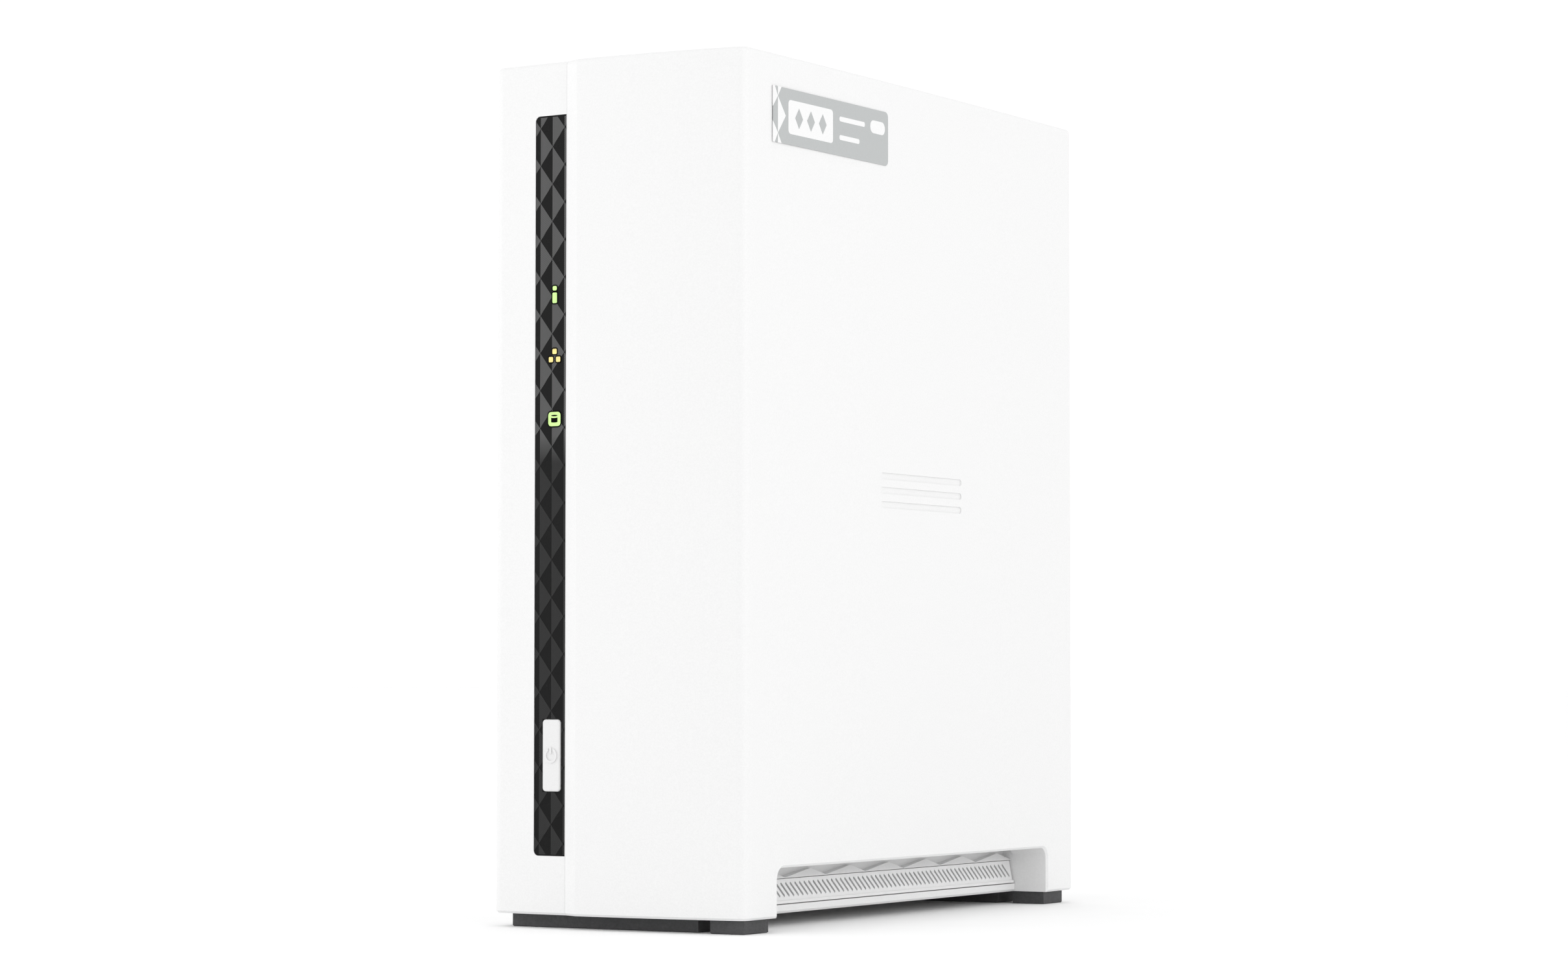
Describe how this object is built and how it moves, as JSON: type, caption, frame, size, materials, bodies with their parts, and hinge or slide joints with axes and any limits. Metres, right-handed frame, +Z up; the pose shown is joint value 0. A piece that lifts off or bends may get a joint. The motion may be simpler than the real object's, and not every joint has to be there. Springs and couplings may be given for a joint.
{
  "type": "network attached storage",
  "caption": "Upright one-bay network storage unit in two white shells, with a black strip window, push button, side air intake and rear fan.",
  "frame": {"origin": "on the surface the unit stands on, under the middle of its width and depth", "axes": "+Z up, +X to the unit's right seen from the front, front faces -Y"},
  "size_m": [0.0663, 0.1562, 0.1886],
  "materials": {
    "shell_white": "fine matte texture",
    "window_black": "glossy, printed on the back",
    "button_white": "satin",
    "light_green": "clear light pipe, lit green",
    "light_amber": "clear light pipe, lit amber",
    "foot_rubber": "matte",
    "label_grey": "satin printed film",
    "panel_grey": "fine matte texture",
    "fan_black": "moulded",
    "circuit_green": "solder mask",
    "chip_black": "moulded",
    "connector_black": "moulded",
    "steel": "bare",
    "bracket_steel": "zinc plated",
    "screw_steel": "nickel plated",
    "cast_aluminium": "cast",
    "plain_aluminium": "satin",
    "disc_mirror": "polished",
    "ribbon_white": "flat lead",
    "wire_black": "sleeve",
    "lamp_cream": "lamp body"
  },
  "bodies": {
    "chassis": {"main_housing": "shell_white", "vent_grille": "shell_white", "rear_panel": "panel_grey", "front_long_foot": "foot_rubber", "rear_long_foot": "foot_rubber", "strip_window": "window_black", "light_pipe_status": "light_green", "light_pipe_network": "light_amber", "light_pipe_drive": "light_green", "power_spring": "steel", "front_board": "circuit_green", "front_board_screws": "screw_steel", "status_lights": "lamp_cream", "power_switch": "connector_black", "main_board": "circuit_green", "board_screws": "screw_steel", "processor": "chip_black", "heat_sink": "plain_aluminium", "memory_chips": "chip_black", "flash_chip": "chip_black", "capacitors": "plain_aluminium", "power_coils": "chip_black", "cell_holder": "connector_black", "coin_cell": "steel", "buzzer": "connector_black", "network_jack": "steel", "fast_usb_port": "steel", "usb_port": "steel", "dc_inlet": "connector_black", "reset_switch": "connector_black", "riser_connector": "connector_black", "drive_link_board": "circuit_green", "drive_connector": "connector_black", "front_ribbon": "ribbon_white", "ribbon_socket": "connector_black", "drive_bracket": "bracket_steel", "bracket_screws": "screw_steel", "drive_screws": "screw_steel", "drive_base": "cast_aluminium", "drive_lid": "steel", "lid_screws": "screw_steel", "drive_circuit_board": "circuit_green", "fan_frame": "fan_black", "fan_screws": "screw_steel", "fan_socket": "connector_black", "fan_cable": "wire_black", "panel_screws": "screw_steel", "cover_screws": "screw_steel"},
    "cover": {"case_cover": "shell_white", "side_label": "label_grey", "front_short_foot": "foot_rubber", "rear_short_foot": "foot_rubber"},
    "power_button": {"power_button": "button_white"},
    "reset_button": {"reset_button": "connector_black"},
    "fan_rotor": {"fan_rotor": "fan_black"},
    "platters": {"platter_stack": "disc_mirror"},
    "head_arm": {"head_arm": "plain_aluminium"}
  },
  "joints": [
    {"name": "cover_pull", "type": "slide", "parent": "chassis", "child": "cover", "axis": [1, 0, 0], "range_m": [0, 0.05]},
    {"name": "power_press", "type": "slide", "parent": "chassis", "child": "power_button", "axis": [0.0506, 0.9987, 0], "range_m": [0, 0.0007], "stiffness_N_per_m": 1500, "springref_m": -0.0002, "deforming": ["power_spring"]},
    {"name": "reset_press", "type": "slide", "parent": "chassis", "child": "reset_button", "axis": [0, -1, 0], "range_m": [0, 0.0004], "stiffness_N_per_m": 1500, "springref_m": -0.0002},
    {"name": "fan_spin", "type": "hinge", "parent": "chassis", "child": "fan_rotor", "pos_m": [0, 0.0644, 0.145], "axis": [0, 1, 0], "continuous": true},
    {"name": "platter_spin", "type": "hinge", "parent": "chassis", "child": "platters", "pos_m": [0.018, -0.0012, 0.127], "axis": [1, 0, 0], "continuous": true},
    {"name": "arm_swing", "type": "hinge", "parent": "chassis", "child": "head_arm", "pos_m": [0.018, 0.0258, 0.075], "axis": [-1, 0, 0], "range_deg": [0, 33]}
  ]
}
